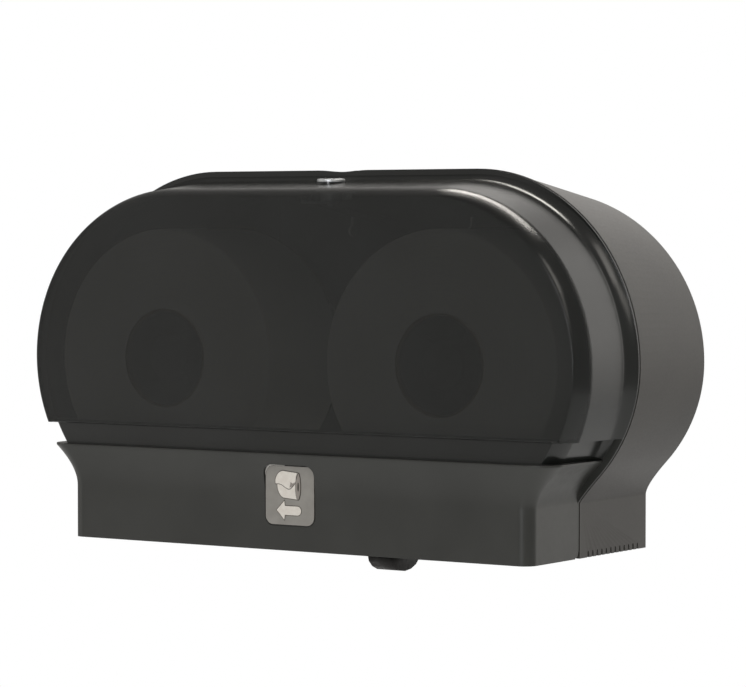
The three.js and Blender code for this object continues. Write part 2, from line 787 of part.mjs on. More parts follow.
// The shutter slides along X under the exits. Its hollow grip tab hangs below the casing.
function shutter() {
  const front = frameFrontY + railWall + slideGap;
  const back = railBackY - railWall - slideGap;
  const plate = box(-shutterHalfWidth, shutterHalfWidth, front, back, shutterZ, shutterTopZ);
  const tabBackY = tabFrontY + tabDepth;
  const boat = (inset, top) => {
    const shape = new THREE.Shape();
    const [y0, y1] = [tabFrontY + inset, tabBackY - inset];
    const [reach, drop] = [(y1 - y0) / 2, tabDrop - inset];
    shape.moveTo(y0, top);
    shape.absellipse((y0 + y1) / 2, floorZ, reach, drop, Math.PI, 2 * Math.PI, false);
    shape.lineTo(y1, top);
    return shape;
  };
  const tab = prismX(boat(0, shutterZ + overrun), -tabHalfWidth, tabHalfWidth);
  const x = tabHalfWidth - tabWall;
  return plate.add(tab).subtract(prismX(boat(tabWall, shutterTopZ + overrun), -x, x));
}

// Lock: a flanged barrel through the cover's top, a plug with a key slot, a nut, and a cam on a screw

function lockBody() {
  const upright = (radius, from, to) => bar("z", radius, from, to, 0, lockY, roundSides);
  const top = bezelZ + seatGap + bezelHeight;
  const bezel = upright(bezelRadius, bezelZ + seatGap, top);
  const barrel = upright(lockBarrelRadius, barrelEndZ, top);
  const bore = upright(plugRadius + seatGap, barrelEndZ - overrun, top + overrun);
  return bezel.add(barrel).subtract(bore);
}

function lockPlug() {
  const top = bezelZ + bezelHeight;
  const plug = bar("z", plugRadius, barrelEndZ, top, 0, lockY, roundSides);
  const [halfKey, halfLength] = [keyWidth / 2, keyLength / 2];
  const depth = [top - keyDepth, top + overrun];
  const slot = box(-halfKey, halfKey, lockY - halfLength, lockY + halfLength, ...depth);
  const threadTop = barrelEndZ + screwReach - camThick;
  const thread = bar("z", screwHole, barrelEndZ - overrun, threadTop, 0, lockY, screwSides);
  return plug.subtract(slot).subtract(thread);
}

function lockNut() {
  const top = bossZ - seatGap;
  const bottom = top - nutThick;
  const hole = lockBarrelRadius + seatGap;
  const nut = bar("z", nutRadius, bottom, top, 0, lockY, hexSides);
  return nut.subtract(bar("z", hole, bottom - overrun, top + overrun, 0, lockY, roundSides));
}

// Unlocked, the cam lies along -X; a quarter turn brings its hook behind the strike plate.
function lockCam() {
  const half = camWidth / 2;
  const [width, top] = [[lockY - half, lockY + half], camZ + camThick];
  const arm = box(-camReach, 0, ...width, camZ, top);
  const eye = bar("z", half, camZ, top, 0, lockY);
  const hook = box(-camReach, hookThick - camReach, ...width, camZ, top + hookRise);
  const hole = bar("z", screwHole, camZ - overrun, top + overrun, 0, lockY, screwSides);
  return arm.add(eye).add(hook).subtract(hole);
}

function strikePlate() {
  const frontPlane = strikeBackY - strikeThick;
  const wide = strikeScrewX + screwHead;
  const tongue = box(-strikeHalfWidth, strikeHalfWidth, frontPlane, strikeBackY, strikeZ, padTopZ);
  let plate = tongue.add(box(-wide, wide, frontPlane, strikeBackY, padZ, padTopZ));
  for (const { side } of sides) {
    const [x, depth] = [side * strikeScrewX, [frontPlane - overrun, strikeBackY + overrun]];
    plate = plate.subtract(bar("y", screwHole, ...depth, x, strikeScrewZ));
  }
  return plate;
}

// A slotted pan-head screw along +Z, with its shank from 0 up to length and its head below.
function screw(length) {
  const shank = bar("z", screwRadius, -overrun, length, 0, 0, screwSides);
  const head = bar("z", screwHead, -screwHeadHeight, 0, 0, 0, screwSides);
  const [half, arm, bottom] = [driveWidth / 2, screwHead + overrun, -screwHeadHeight - overrun];
  const slot = box(-arm, arm, -half, half, bottom, driveDepth - screwHeadHeight);
  return shank.add(head).subtract(slot);
}

// Assembly: each moving part is a group of the pieces that move together
const housing = new THREE.Group();
housing.add(mesh("rear_housing", rearHousing(), blackAbs));
housing.add(mesh("exit_frame", exitFrame(), blackAbs));
housing.add(mesh("strike_plate", strikePlate(), steel));
for (const { side, end } of sides) {
  const onAxis = [side * rollOffset, 0, 0];
  housing.add(mesh(`hinge_pin_${end}`, hingePin(side), steel));
  housing.add(mesh(`spindle_${end}`, spindle(), blackNylon, onAxis));
  housing.add(mesh(`spindle_cap_${end}`, spindleCap(), blackNylon, onAxis));
  const footReach = footThick + backPanel - seatGap;
  const intoWall = screw(footReach).rotate([-90, 0, 0]);
  footScrewPlaces(side).forEach(([x, z], i) => {
    const y = -backPanel - footThick - 2 * seatGap;
    housing.add(mesh(`spindle_screw_${end}_${i + 1}`, intoWall, steel, [x, y, z]));
  });
  frameScrewYs.forEach((y, i) => {
    const name = `frame_screw_${end}_${i === 0 ? "front" : "back"}`;
    const length = frameThick + screwReach - seatGap;
    housing.add(mesh(name, screw(length), steel, [side * frameScrewX, y, frameZ - seatGap]));
  });
  const strikeScrew = screw(strikeThick + screwReach - seatGap).rotate([-90, 0, 0]);
  const strikeY = strikeBackY - strikeThick - seatGap;
  const strikePlace = [side * strikeScrewX, strikeY, strikeScrewZ];
  housing.add(mesh(`strike_screw_${end}`, strikeScrew, steel, strikePlace));
}

const cover = new THREE.Group();
cover.add(mesh("front_cover", frontCover(), smokedPolycarbonate));
cover.add(mesh("sign_plate", signPlate(), signGrey));
cover.add(mesh("lock_body", lockBody(), chrome));
cover.add(mesh("lock_nut", lockNut(), steel));
const lock = new THREE.Group();
lock.add(mesh("lock_plug", lockPlug(), chrome));
lock.add(mesh("lock_cam", lockCam(), steel));
lock.add(mesh("cam_screw", screw(screwReach - overrun), steel, [0, lockY, camZ - seatGap]));
cover.add(lock);

const slider = new THREE.Group();
slider.add(mesh("shutter", shutter(), blackAbs));
slider.position.x = shutterRest;

const dispenser = new THREE.Group();
dispenser.add(housing, cover, slider);
for (const { side, end } of sides) {
  const roll = new THREE.Group();
  roll.add(mesh(`core_hub_${end}`, coreHub(), blackNylon));
  roll.add(mesh(`roll_core_${end}`, rollCore(), cardboard));
  roll.add(mesh(`paper_roll_${end}`, paperRoll(), tissue));
  roll.position.x = side * rollOffset;
  dispenser.add(roll);
}

export default dispenser;
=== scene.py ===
# A wall-mounted dispenser for two jumbo toilet rolls, dressed and lit for a catalogue picture.
# Its pieces are made in millimetres, in the order in which the dispenser is put together.
import math
import random

import bmesh
import bpy
from mathutils import Matrix, Vector


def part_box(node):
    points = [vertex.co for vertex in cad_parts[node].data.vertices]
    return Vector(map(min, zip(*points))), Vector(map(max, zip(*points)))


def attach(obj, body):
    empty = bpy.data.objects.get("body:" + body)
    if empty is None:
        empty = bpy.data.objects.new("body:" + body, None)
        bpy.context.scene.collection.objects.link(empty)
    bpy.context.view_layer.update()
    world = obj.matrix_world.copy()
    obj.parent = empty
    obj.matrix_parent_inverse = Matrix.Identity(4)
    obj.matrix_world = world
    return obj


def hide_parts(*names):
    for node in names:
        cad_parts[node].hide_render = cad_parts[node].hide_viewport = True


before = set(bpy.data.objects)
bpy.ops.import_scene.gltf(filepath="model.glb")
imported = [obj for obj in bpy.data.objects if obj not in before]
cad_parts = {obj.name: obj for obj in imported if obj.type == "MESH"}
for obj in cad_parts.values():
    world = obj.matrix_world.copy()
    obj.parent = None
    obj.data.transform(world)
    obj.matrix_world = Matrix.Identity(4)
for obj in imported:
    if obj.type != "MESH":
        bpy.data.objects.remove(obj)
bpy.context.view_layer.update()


# Camera: a long lens about 2.7 m away, 34 degrees round to the dispenser's right and 2 degrees
# above level, as in the photograph.
CAMERA_TURN = 33.7
CAMERA_DROP = 2.06
CAMERA_AT = (1.4734, -2.2717, 0.1068)
SENSOR_WIDTH = 36
FOCAL_LENGTH = 154.81
lens = bpy.data.cameras.new("studio_camera")
lens.sensor_width = SENSOR_WIDTH
lens.lens = FOCAL_LENGTH
camera = bpy.data.objects.new("studio_camera", lens)
camera.location = CAMERA_AT
camera.rotation_euler = (math.radians(90 - CAMERA_DROP), 0, math.radians(CAMERA_TURN))
bpy.context.scene.collection.objects.link(camera)
bpy.context.scene.camera = camera


# Rear housing: the tray that hangs on the wall and carries everything else.
# Injection moulded in one shot of black ABS, with a spark-eroded satin grain on its outside.
# Its walls lean out a little from the wall face to the rim, so that it leaves its mould.
MM = 0.001
# The round ends are quarter ellipses about this place either side of the middle. They reach so far
# out, up and down from it, at the wall face and at the rim.
CAP_X = 129
BACK = (146.5, 136.5, 126)
RIM = (147.5, 153.5, 132)
PARTING_Y = -106.5
FLOOR_Z = -151
BASE_X = 222.8
# The hollow neck starts so high above the floor and leaves the round end so far out from the base
NECK_RISE = 43
NECK_REACH = 19.5
NECK_LIMIT = 0.96
HOUSING_WALL = 2.8
BEAD = 0.47
BEAD_DEPTH = 2
BEAD_EASE = 0.9
# A cutting body runs past what it cuts, and faces that would lie in one plane are kept just apart
OVERRUN = 1
SKIN = 0.05
# The walls stand this far outside the CAD's, so that its coarser facets don't come through them
PROUD = 0.3
ARC_STEPS = 56
CURVE_STEPS = 14
# The row of notches along the foot of each side wall
TOOTH_PITCH = 7.2
TOOTH_WIDTH = 3.4
TOOTH_HEIGHT = 5
TOOTH_TIP = 0.7
TOOTH_INSET = 13.5
TOOTH_COUNT = 12
# The dip in the rim's top edge, which runs from the cover's flange back into the housing
DIP_HALF = 24
DIP_DEPTH = 1.4
DIP_STEPS = 32
DIP_ENDS = (-126, -98.5)


def linear(code):
    """An sRGB hex colour as the linear colour that a shader takes."""
    shares = [int(code[i:i + 2], 16) / 255 for i in (0, 2, 4)]
    return (*[s / 12.92 if s <= 0.04045 else ((s + 0.055) / 1.055) ** 2.4 for s in shares], 1)


def add(material, kind, settings=None, *values, **named):
    """Adds a node with its settings, and sets or links its sockets in their order or by name."""
    made = material.node_tree.nodes.new("ShaderNode" + kind)
    for name, value in (settings or {}).items():
        setattr(made, name, value)
    by_name = {name.replace("_", " "): value for name, value in named.items()}
    for key, value in [*enumerate(values), *by_name.items()]:
        socket = made.inputs[key]
        if isinstance(value, bpy.types.NodeSocket):
            material.node_tree.links.new(value, socket)
        else:
            socket.default_value = value
    return made


def finish(name, build):
    """A material with a Principled surface, whose sockets build(material) returns."""
    material = bpy.data.materials.new(name)
    material.use_nodes = True
    material.node_tree.nodes.clear()
    surface = add(material, "BsdfPrincipled", None, **build(material))
    add(material, "OutputMaterial", None, Surface=surface.outputs["BSDF"])
    return material


# A noise hardly ever leaves these two values
NOISE_LOW = 0.3
NOISE_HIGH = 0.7


def cloudy(material, size, low, high, detail=2):
    """A soft noise of that size in millimetres, spread between two values."""
    where = add(material, "TexCoord").outputs["Object"]
    noise = add(material, "TexNoise", None, Vector=where, Scale=1 / (size * MM), Detail=detail)
    spread = add(material, "MapRange", None, Value=noise.outputs["Fac"], From_Min=NOISE_LOW,
                 From_Max=NOISE_HIGH, To_Min=low, To_Max=high)
    return spread.outputs["Result"]


def mottled(material, size, first, second, detail=2):
    """A colour that drifts softly between two, over that size in millimetres."""
    mixed = add(material, "MixRGB", None, Fac=cloudy(material, size, 0, 1, detail),
                Color1=linear(first), Color2=linear(second))
    return mixed.outputs["Color"]


GRAIN_DETAIL = 3
EDGE_SAMPLES = 4


def grained(material, size, depth, edge=0.0):
    """The normal of a surface with grain and softened edges, all sizes in millimetres."""
    where = add(material, "TexCoord").outputs["Object"]
    noise = add(material, "TexNoise", None, Vector=where, Scale=1 / (size * MM),
                Detail=GRAIN_DETAIL)
    bump = add(material, "Bump", None, Height=noise.outputs["Fac"], Strength=1.0,
               Distance=depth * MM)
    if edge:
        soft = add(material, "Bevel", {"samples": EDGE_SAMPLES}, Radius=edge * MM)
        material.node_tree.links.new(soft.outputs["Normal"], bump.inputs["Normal"])
    return bump.outputs["Normal"]


# Spark-eroded ABS gives a dark satin that goes grey where light grazes it. The grain is 0.2 mm on
# the real moulding, and is drawn at 1.1 mm so that it shows. The tone drifts over 70 mm, as the
# melt did when the mould filled.
def spark_eroded_abs(material):
    return dict(
        Base_Color=mottled(material, 70, "312f2c", "393733"),
        Roughness=cloudy(material, 1.6, 0.39, 0.45),
        IOR=1.53,
        Normal=grained(material, 1.1, 0.012, 0.5),
    )


black_abs = finish("spark_eroded_black_abs", spark_eroded_abs)


def casing(y, sizes, inset=0):
    """The casing's outline at depth y: its round ends, drawn in below to a straight base."""
    wall = BASE_X - inset
    out, up, down = [size - inset for size in sizes]
    join = math.acos(min(NECK_LIMIT, (wall + NECK_REACH - CAP_X) / out))
    start = Vector((CAP_X + out * math.cos(join), -down * math.sin(join)))
    slope = (down * math.cos(join)) / (out * math.sin(join))
    knee = Vector((wall, start.y - (start.x - wall) * slope))
    foot = Vector((wall, min(FLOOR_Z + NECK_RISE, knee.y)))
    right = [Vector((wall, FLOOR_Z))]
    for i in range(CURVE_STEPS + 1):
        t = i / CURVE_STEPS
        right.append(foot * (1 - t) ** 2 + knee * 2 * t * (1 - t) + start * t * t)
    for i in range(1, ARC_STEPS + 1):
        angle = -join + (math.pi / 2 + join) * i / ARC_STEPS
        height = up if angle > 0 else down
        right.append(Vector((CAP_X + out * math.cos(angle), height * math.sin(angle))))
    left = [Vector((-p.x, p.y)) for p in reversed(right)]
    return [(p.x, y, p.y) for p in right + left]


def piece(name, made):
    """An object in metres from a mesh in millimetres."""
    bmesh.ops.recalc_face_normals(made, faces=made.faces)
    bmesh.ops.scale(made, vec=(MM, MM, MM), verts=made.verts)
    mesh = bpy.data.meshes.new(name)
    made.to_mesh(mesh)
    made.free()
    shown = bpy.data.objects.new(name, mesh)
    bpy.context.scene.collection.objects.link(shown)
    return shown


def skin(name, rings):
    """A closed body through rings of as many points each, capped at both ends."""
    made = bmesh.new()
    rows = [[made.verts.new(point) for point in ring] for ring in rings]
    for near, far in zip(rows, rows[1:]):
        for i, corner in enumerate(near):
            j = (i + 1) % len(near)
            made.faces.new((corner, near[j], far[j], far[i]))
    made.faces.new(reversed(rows[0]))
    made.faces.new(rows[-1])
    return piece(name, made)


def block(x, y, z):
    """A cutting or joining block between two places on each axis."""
    section = [(x[0], z[0]), (x[1], z[0]), (x[1], z[1]), (x[0], z[1])]
    return skin("block", [[(a, depth, b) for a, b in section] for depth in y])


def joined(base, operation, others):
    """Joins other bodies to a body, or cuts them from it, and removes them."""
    for other in others:
        step = base.modifiers.new(operation, "BOOLEAN")
        step.operation = operation
        step.solver = "MANIFOLD"
        step.object = other
    graph = bpy.context.evaluated_depsgraph_get()
    result = bpy.data.meshes.new_from_object(base.evaluated_get(graph))
    base.modifiers.clear()
    base.data = result
    for other in others:
        bpy.data.objects.remove(other)
    return base


def fit(shown, body, slot, *materials, smooth=32, stands_for=()):
    """Shades a piece, and sets what it moves with, its finish and the nodes that it stands for."""
    shown.data.materials.clear()
    for material in materials:
        shown.data.materials.append(material)
    shown.data.shade_smooth()
    shown.data.set_sharp_from_angle(angle=math.radians(smooth))
    # The slivers that a join leaves would tilt the shading, so the large faces set it
    by_area = shown.modifiers.new("by_area", "WEIGHTED_NORMAL")
    by_area.keep_sharp = True
    by_area.mode = "FACE_AREA_WITH_ANGLE"
    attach(shown, body)
    if stands_for:
        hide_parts(*stands_for)
    return shown


def tooth_row(side):
    """The notches along the bottom edge of a side wall, which tear the paper."""
    reach = (BASE_X - HOUSING_WALL - OVERRUN, BASE_X + OVERRUN)
    half, top = TOOTH_WIDTH / 2, FLOOR_Z + TOOTH_HEIGHT
    notches = []
    for i in range(TOOTH_COUNT):
        y = PARTING_Y + TOOTH_INSET + i * TOOTH_PITCH
        section = [(y - half, FLOOR_Z - OVERRUN), (y + half, FLOOR_Z - OVERRUN),
                   (y + TOOTH_TIP, top), (y - TOOTH_TIP, top)]
        notches.append(skin("notch", [[(side * x, a, b) for a, b in section] for x in reach]))
    return notches


def rim_dip():
    """The shallow dip across the top of the rim, over the lock."""
    top = RIM[1] + BEAD
    turns = [math.tau * i / DIP_STEPS for i in range(DIP_STEPS + 1)]
    low = [(DIP_HALF * (t / math.pi - 1), top - DIP_DEPTH * (1 - math.cos(t)) / 2) for t in turns]
    section = [(-DIP_HALF, top + OVERRUN), *low, (DIP_HALF, top + OVERRUN)]
    return skin("rim_dip", [[(x, y, z) for x, z in section] for y in DIP_ENDS])


# Corners of a CAD mesh that are nearer than this are one
WELD = 0.001


def node_body(name):
    """A copy of a CAD node as one closed body, with its split corners welded."""
    made = bmesh.new()
    made.from_mesh(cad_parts[name].data)
    bmesh.ops.remove_doubles(made, verts=made.verts, dist=WELD * MM)
    bmesh.ops.scale(made, vec=[1 / MM] * 3, verts=made.verts)
    return piece(name + "_copy", made)


def leaning(y):
    """The sizes of the tray's outline at depth y, between those at its back and at its rim."""
    share = y / PARTING_Y
    return [back + (rim - back) * share for back, rim in zip(BACK, RIM)]


# The walls end inside the bead, and only the bead makes the rim's face
tray_depths = (0, PARTING_Y + BEAD_DEPTH / 2)
housing = skin("housing_tray", [casing(y, leaning(y), -PROUD) for y in tray_depths])
bead_rings = [(BEAD_DEPTH + BEAD_EASE, PROUD), (BEAD_DEPTH + SKIN, -BEAD), (-SKIN, -BEAD)]
bead = skin("bead", [casing(PARTING_Y + depth, RIM, inset) for depth, inset in bead_rings])
joined(housing, "UNION", [bead])
through = (OVERRUN, PARTING_Y - OVERRUN)
hollow = skin("hollow", [casing(y, leaning(y), HOUSING_WALL) for y in through])
mouth_x = BASE_X - HOUSING_WALL
mouth = block((-mouth_x, mouth_x), through[::-1], (FLOOR_Z - OVERRUN, FLOOR_Z + NECK_RISE))
joined(housing, "DIFFERENCE", [hollow, mouth, rim_dip(), *tooth_row(-1), *tooth_row(1)])
# The back panel with its keyholes, the ribs, the shelves and the ears are the CAD's own
joined(housing, "UNION", [joined(node_body("rear_housing"), "DIFFERENCE", [rim_dip()])])
fit(housing, "housing", "black_abs", black_abs, stands_for=["rear_housing"])


# Exit frame and shutter: the floor with the two paper exits, and the plate that slides under it.
# Both are flat black ABS mouldings from an unetched mould, on which the shutter's rails run smooth.
# They look darker and duller than the casing, with hardly any grain to catch the light.
def plain_abs(material):
    return dict(
        Base_Color=mottled(material, 40, "1d1c1b", "242321"),
        Roughness=cloudy(material, 3, 0.46, 0.6),
        IOR=1.53,
        Specular_IOR_Level=0.2,
        Normal=grained(material, 0.9, 0.012, 0.35),
    )


plain_black_abs = finish("plain_moulded_black_abs", plain_abs)


# A node that is shown as it is needs its corners welded a little wider, so that it shades smoothly
NODE_WELD = 0.01


def dress(names, material, smooth=32):
    """Gives CAD nodes a finish, with their split corners welded and their curves smooth."""
    for name in names:
        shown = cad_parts[name]
        shown.data.materials.clear()
        shown.data.materials.append(material)
        weld = shown.modifiers.new("weld", "WELD")
        weld.merge_threshold = NODE_WELD * MM
        shown.data.shade_smooth()
        shown.data.set_sharp_from_angle(angle=math.radians(smooth))


dress(["exit_frame", "shutter"], plain_black_abs)


# Spindles, caps and core hubs: turned and spoked shapes moulded in black nylon, which runs on
# itself without grease. Nylon is a little greyer and more waxy than ABS.
def waxy_nylon(material):
    return dict(
        Base_Color=mottled(material, 25, "202020", "2a2a2a"),
        Roughness=cloudy(material, 4, 0.4, 0.52),
        IOR=1.53,
        Normal=grained(material, 1.4, 0.01, 0.4),
    )


black_nylon = finish("waxy_moulded_black_nylon", waxy_nylon)
SIDES = (("left", -1), ("right", 1))
for end, _ in SIDES:
    dress([f"spindle_{end}", f"spindle_cap_{end}", f"core_hub_{end}"], black_nylon)


# Roll cores: tubes of grey-brown board, wound from strips on a slant and glued.
# The strips' edges show as a slanting line every 60 mm or so, and the board is softly fibrous.
CORE_STRIP = 60
CORE_SLANT = 35
# A wave's bands repeat every so much of its unit, which turns their spacing into its scale
WAVE_REPEAT = 0.314


def wound_board(material):
    where = add(material, "TexCoord").outputs["Object"]
    tilted = add(material, "Mapping", {"vector_type": "POINT"}, Vector=where,
                 Rotation=(0, 0, math.radians(CORE_SLANT)))
    seam = add(material, "TexWave", {"bands_direction": "Y"}, Vector=tilted.outputs["Vector"],
               Scale=WAVE_REPEAT / (CORE_STRIP * MM), Distortion=0.4, Detail=1)
    edge = add(material, "MapRange", None, Value=seam.outputs["Fac"], From_Min=0.0, From_Max=0.06,
               To_Min=0.0, To_Max=1.0)
    board = add(material, "MixRGB", None, Fac=edge.outputs["Result"], Color1=linear("5f4b35"),
                Color2=linear("7f6a4e"))
    return dict(
        Base_Color=board.outputs["Color"],
        Roughness=cloudy(material, 2, 0.8, 0.95),
        Normal=grained(material, 0.8, 0.03),
    )


core_board = finish("spiral_wound_core_board", wound_board)
dress(["roll_core_left", "roll_core_right"], core_board)


# Paper rolls: two-ply tissue, creped and embossed, wound to nine inches on the core.
# Its side shows the windings as fine rings that stand a little proud of each other, and its face
# is soft, with small dimples.
ROLL_X = 134
ROLL_BORE = 40.9
ROLL_EDGE = 2
ROLL_EDGE_STEPS = 4
ROLL_STEPS = 144
WINDING_STEP = 1.6
WINDING_SHARES = (0.5, 1.0)
WINDING_PLAY = 0.22
LEAST_PLAY = 0.02
LAYER = 1.1
DIMPLE = 3.2


# Tissue is matt and soft, with a faint sheen of loose fibres. Its layers are 0.1 mm thick, and a
# ring is drawn for every eleven, so that they show.
def creped_tissue(material):
    where = add(material, "TexCoord").outputs["Object"]
    rings = add(material, "TexWave", {"wave_type": "RINGS", "rings_direction": "Y"}, Vector=where,
                Scale=WAVE_REPEAT / (LAYER * MM), Distortion=1.5, Detail=2, Detail_Scale=0.4)
    dimples = add(material, "TexVoronoi", {"feature": "SMOOTH_F1"}, Vector=where,
                  Scale=1 / (DIMPLE * MM), Smoothness=0.6)
    wound = add(material, "Bump", None, Height=rings.outputs["Fac"], Strength=0.5,
                Distance=0.12 * MM)
    pressed = add(material, "Bump", None, Height=dimples.outputs["Distance"], Strength=0.5,
                  Distance=0.3 * MM, Normal=wound.outputs["Normal"])
    shade = add(material, "MapRange", None, Value=rings.outputs["Fac"], To_Min=0.0, To_Max=1.0)
    paper = add(material, "MixRGB", None, Fac=shade.outputs["Result"], Color1=linear("dedcd4"),
                Color2=linear("f1efe9"))
    return dict(
        Base_Color=paper.outputs["Color"],
        Roughness=cloudy(material, 5, 0.88, 1.0),
        Sheen_Weight=0.25,
        Sheen_Roughness=0.5,
        Normal=pressed.outputs["Normal"],
    )


tissue = finish("creped_two_ply_tissue", creped_tissue)


def lathed(name, profile, steps):
    """A closed body turned about the Y axis from [radius, y] points."""
    made = bmesh.new()
    rows = []
    for i in range(steps):
        across, up = math.cos(math.tau * i / steps), math.sin(math.tau * i / steps)
        rows.append([made.verts.new((r * across, y, r * up)) for r, y in profile])
    for i, near in enumerate(rows):
        far = rows[(i + 1) % steps]
        for k in range(len(profile)):
            n = (k + 1) % len(profile)
            made.faces.new((near[k], near[n], far[n], far[k]))
    return piece(name, made)


def wound_side(rng, radius, y, inward):
    """One side of the roll from its edge to its bore, each few windings set in a little."""
    points = []
    for i in range(ROLL_EDGE_STEPS + 1):
        angle = math.pi / 2 * i / ROLL_EDGE_STEPS
        points.append((radius - ROLL_EDGE * (1 - math.cos(angle)),
                       y + inward * ROLL_EDGE * (1 - math.sin(angle))))
    winding = radius - ROLL_EDGE
    while winding - WINDING_STEP > ROLL_BORE:
        winding -= WINDING_STEP * rng.uniform(*WINDING_SHARES)
        set_in = rng.uniform(LEAST_PLAY, WINDING_PLAY)
        points.append((max(winding, ROLL_BORE), y + inward * set_in))
    points.append((ROLL_BORE, y + inward * WINDING_PLAY))
    return points


for end, side in SIDES:
    lowest, highest = [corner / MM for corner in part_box(f"paper_roll_{end}")]
    radius = (highest.x - lowest.x) / 2
    rng = random.Random(f"{end} roll")
    front = wound_side(rng, radius, lowest.y, 1)
    back = wound_side(rng, radius, highest.y, -1)
    roll = lathed(f"wound_roll_{end}", front + back[::-1], ROLL_STEPS)
    roll.location.x = side * ROLL_X * MM
    fit(roll, f"roll_{end}", "tissue", tissue, smooth=50, stands_for=[f"paper_roll_{end}"])


# Front cover: one moulding in smoked polycarbonate, hinged at its foot so that it drops forward.
# The window's bulge and the band under it are polished, so that the rolls can be judged through
# them, and the flared base is finely textured.
FRONT_Y = -182
COVER_BACK_Y = -107
COVER_WALL = 2.5
# The window's face, its edge, the drafted skirt behind it, and the flare out to the rim's flange
WINDOW_RADIUS = 139
EDGE_IN = 8
EDGE_DEPTH = 17
EDGE_EASE = 0.4
SKIRT = (140, 144, 139)
SKIRT_LENGTH = 44.5
FLARE_DEPTH = 14
FLARE_END = (147.5, 149.5, 132)
FLANGE = 2
EDGE_STEPS = 18
# The window's lower edge, the band set in below it, and the base with its thin lip
WINDOW_Z = -56
LIP_Z = -73
LIP_REACH = 22.2
LIP_FRONT = 6
LIP_THICK = 1.6
KNEE_SHARE = 0.45
BAND_INSET = 6.5
BAND_FRONT = 4
BASE_CORNER = 11
LIP_CORNER = 20
TOP_Z = 156
# The pads that turn on the hinge pins, and the lock's seat and boss
PIVOT_Y = -112.7
PIVOT_Z = -145.5
KNUCKLE = 4.8
PIN = 2.3
PAD_DEPTH = 5.4
LOCK_Y = -123.5
BEZEL_Z = 144
BEZEL = 11.5
BOSS_DEPTH = 4.5
BOSS_RIM = 1.6
BARREL = 9
# The sign and the shadow gap round it in its pocket
SIGN_HALF = 23.5
SIGN_CORNER = 7
SIGN_THICK = 0.9
SIGN_Z = -106.7
SIGN_PLAY = 1
SEAT = 0.3
# How far the window's lower edge and the lip are rounded over
WINDOW_EASE = 1.4
LIP_EASE = 0.7
EASE_STEPS = 4


# Polished smoked polycarbonate is near black from outside, with soft clear reflections, and lets
# through about a third of the light, so that white paper behind it shows as a dark grey. Its sides
# are seen at a slant, through more of the smoke, and let hardly any light through. Its surface
# wavers a little every 5 mm, which keeps the reflections from being ruler straight.
def polished_smoke(cover_share):
    return lambda material: dict(
        Base_Color=mottled(material, 90, "1f211f", "262827"),
        Roughness=cloudy(material, 12, 0.18, 0.23),
        IOR=1.58,
        Alpha=cover_share,
        Normal=grained(material, 5, 0.006, 0.35),
    )


# The textured part of the same moulding scatters light at its surface, so it looks greyer and
# almost solid. Its texture is 0.3 mm on the real one, and is drawn at 1.2 mm so that it shows.
def textured_smoke(material):
    return dict(
        Base_Color=mottled(material, 60, "323330", "3a3b38"),
        Roughness=cloudy(material, 6, 0.3, 0.38),
        IOR=1.58,
        Alpha=0.93,
        Normal=grained(material, 1.2, 0.012, 0.45),
    )


smoked_window = finish("polished_smoked_polycarbonate_face", polished_smoke(0.66))
smoked_side = finish("polished_smoked_polycarbonate_side", polished_smoke(0.97))
smoked_base = finish("textured_smoked_polycarbonate", textured_smoke)


def pill(y, sizes):
    """The window's long round-ended outline at depth y."""
    out, up, down = sizes
    right = []
    for i in range(2 * ARC_STEPS + 1):
        angle = math.pi / 2 * (i / ARC_STEPS - 1)
        height = up if angle > 0 else down
        right.append((CAP_X + out * math.cos(angle), y, height * math.sin(angle)))
    return right + [(-x, depth, z) for x, depth, z in reversed(right)]


def window_edge():
    """The window's edge in section, from the face to the skirt, quick at both its ends."""
    face, skirt = Vector((-EDGE_IN, 0)), Vector((0, EDGE_DEPTH))
    corner = Vector(((WINDOW_RADIUS - SKIRT[1]) * EDGE_DEPTH / SKIRT_LENGTH, 0))
    leave, meet = face.lerp(corner, EDGE_EASE), skirt.lerp(corner, EDGE_EASE)
    points = []
    for i in range(EDGE_STEPS + 1):
        t = i / EDGE_STEPS
        points.append(face * (1 - t) ** 3 + leave * 3 * t * (1 - t) ** 2
                      + meet * 3 * t * t * (1 - t) + skirt * t ** 3)
    return points


def window_form(name, inset, front, back, heights):
    """The window's bulge with every face drawn in by inset, kept between two heights."""
    rings = [pill(front + p.y, [WINDOW_RADIUS - inset + p.x] * 3) for p in window_edge()]
    flare_y = PARTING_Y - FLARE_DEPTH
    length = (COVER_BACK_Y if back > COVER_BACK_Y else back - FLANGE) - flare_y
    knees = [size + (size - WINDOW_RADIUS) * length / (2 * SKIRT_LENGTH) for size in SKIRT]
    for i in range(EDGE_STEPS + 1):
        t = i / EDGE_STEPS
        sizes = [size * (1 - t) ** 2 + knee * 2 * t * (1 - t) + end * t * t - inset
                 for size, knee, end in zip(SKIRT, knees, FLARE_END)]
        rings.append(pill(flare_y + length * t, sizes))
    rings.append(pill(back, [rim - inset for rim in RIM]))
    form = skin(name, rings)
    reach = CAP_X + RIM[0] + OVERRUN
    kept = block((-reach, reach), (front - OVERRUN, back + OVERRUN), heights)
    return joined(form, "INTERSECT", [kept])


def base_plan(z, spread, inset, back):
    """The base's outline from above at height z: square at the back, round at the front corners."""
    half = BASE_X + LIP_REACH * spread - inset
    front = FRONT_Y - LIP_FRONT * spread + inset
    corner = BASE_CORNER + (LIP_CORNER - BASE_CORNER) * spread - inset
    right = [(half, back, z)]
    for i in range(CURVE_STEPS + 1):
        angle = -math.pi / 2 * i / CURVE_STEPS
        right.append((half - corner * (1 - math.cos(angle)),
                      front + corner * (1 + math.sin(angle)), z))
    return right + [(-x, y, z) for x, y, _ in reversed(right)]


